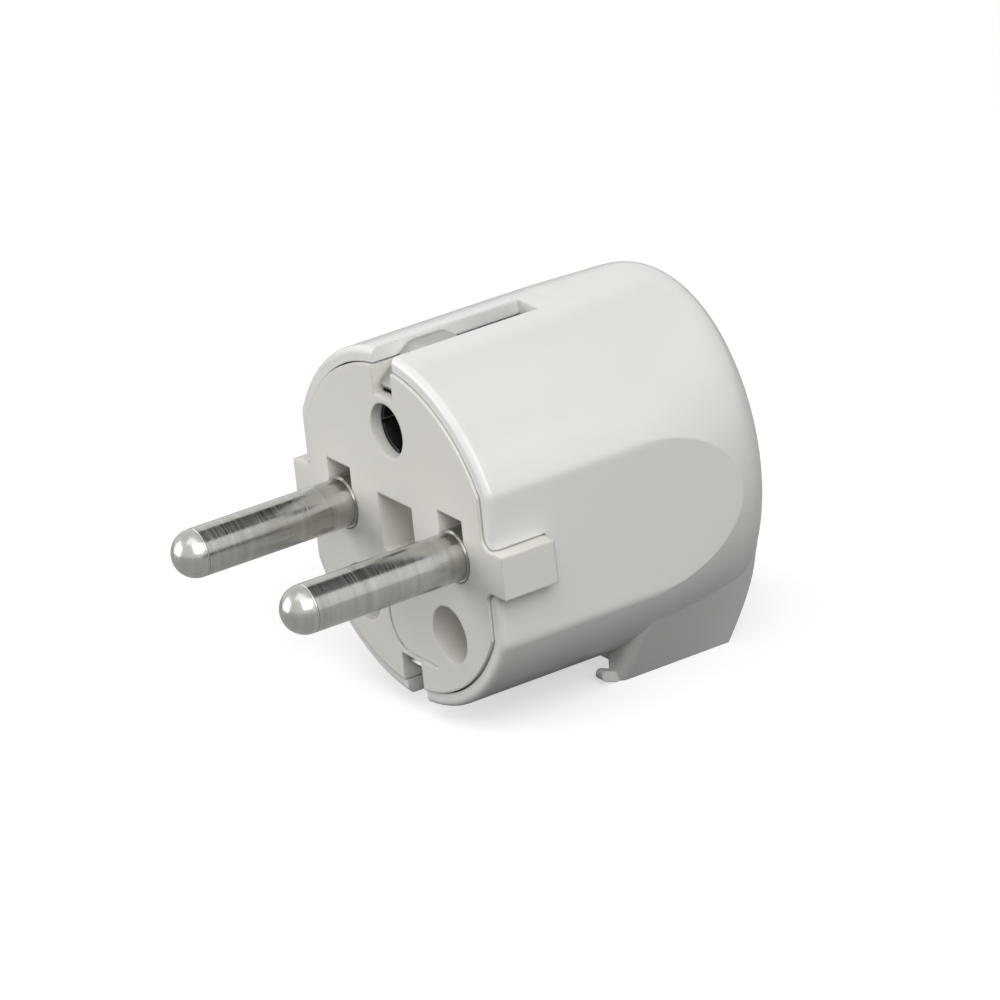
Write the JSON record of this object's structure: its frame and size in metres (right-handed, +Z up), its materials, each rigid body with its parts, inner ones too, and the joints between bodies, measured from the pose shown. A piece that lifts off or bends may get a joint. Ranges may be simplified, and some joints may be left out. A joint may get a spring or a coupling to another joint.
{
  "type": "right-angle mains plug",
  "caption": "Rewirable right-angle earthed mains plug: round pins, earth-pin socket, side earth clips, and a domed shell with its cord outlet underneath.",
  "frame": {"origin": "on the plug's front face, midway between the axes of the two pins", "axes": "+X to the right of someone facing the pins, +Y into the plug with the pins pointing to -Y, +Z up towards the earth-pin hole"},
  "size_m": [0.0356, 0.0525, 0.0369],
  "materials": {
    "shell_plastic": "glossy pale grey-white moulded",
    "insert_plastic": "satin pale grey moulded",
    "retainer_plastic": "satin pale grey moulded",
    "pin_nickel": "turned and nickel plated",
    "strap_nickel": "nickel-plated spring strip",
    "screw_steel": "zinc-plated steel",
    "bush_brass": "turned brass"
  },
  "bodies": {
    "root": {"shell": "shell_plastic", "insert": "insert_plastic", "pin_left": "pin_nickel", "pin_right": "pin_nickel", "pin_retainer": "retainer_plastic", "retainer_screw_left": "screw_steel", "retainer_screw_right": "screw_steel", "pin_screw_left": "screw_steel", "pin_screw_right": "screw_steel", "earth_strap": "strap_nickel", "earth_sleeve": "strap_nickel", "sleeve_ring": "screw_steel", "earth_screw": "screw_steel", "earth_washer": "screw_steel", "earth_nut": "screw_steel", "housing_screw_left": "screw_steel", "housing_screw_right": "screw_steel", "housing_bush_left": "bush_brass", "housing_bush_right": "bush_brass", "cord_clamp": "retainer_plastic", "clamp_screw_left": "screw_steel", "clamp_screw_right": "screw_steel"}
  },
  "joints": []
}
